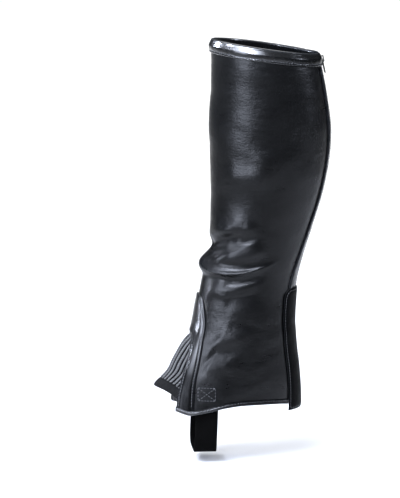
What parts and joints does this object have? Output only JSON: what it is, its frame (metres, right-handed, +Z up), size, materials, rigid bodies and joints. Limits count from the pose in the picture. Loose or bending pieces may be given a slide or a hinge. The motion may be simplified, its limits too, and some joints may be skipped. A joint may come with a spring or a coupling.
{
  "type": "half chap",
  "caption": "Hollow leather half chap that covers the calf from below the knee to the ankle, with a rear zip, ribbed elastic over the instep and an elastic strap under the foot.",
  "frame": {"origin": "middle of the hollow at the widest part of the calf, where the wearer's leg holds the part up", "axes": "+Z up the leg, the wearer faces -Y, +X is the outer side of the left leg"},
  "size_m": [0.1176, 0.1982, 0.4615],
  "materials": {
    "leather": "smooth black leather, satin",
    "elastic": "matt black shirred elastic",
    "webbing": "matt black woven elastic",
    "zip": "black woven tape and moulded chain",
    "metal": "black enamelled die casting"
  },
  "bodies": {
    "root": {"main_panel": "leather", "top_binding": "leather", "gusset_facing": "leather", "front_gusset": "elastic", "gusset_band": "elastic", "hem_binding_near": "leather", "hem_binding_far": "leather", "rear_placket_near": "leather", "rear_placket_far": "leather", "piping_near": "leather", "piping_far": "leather", "ankle_guard_near": "leather", "ankle_guard_far": "leather", "zip_tape": "zip", "zip_chain": "zip", "zip_slider": "metal", "stirrup_strap": "webbing"},
    "zip_pull": {"zip_pull": "metal"}
  },
  "joints": [
    {"name": "pull_hinge", "type": "hinge", "parent": "root", "child": "zip_pull", "pos_m": [0, 0.05701, 0.08116], "axis": [1, 0, 0], "range_deg": [0, 160]}
  ]
}
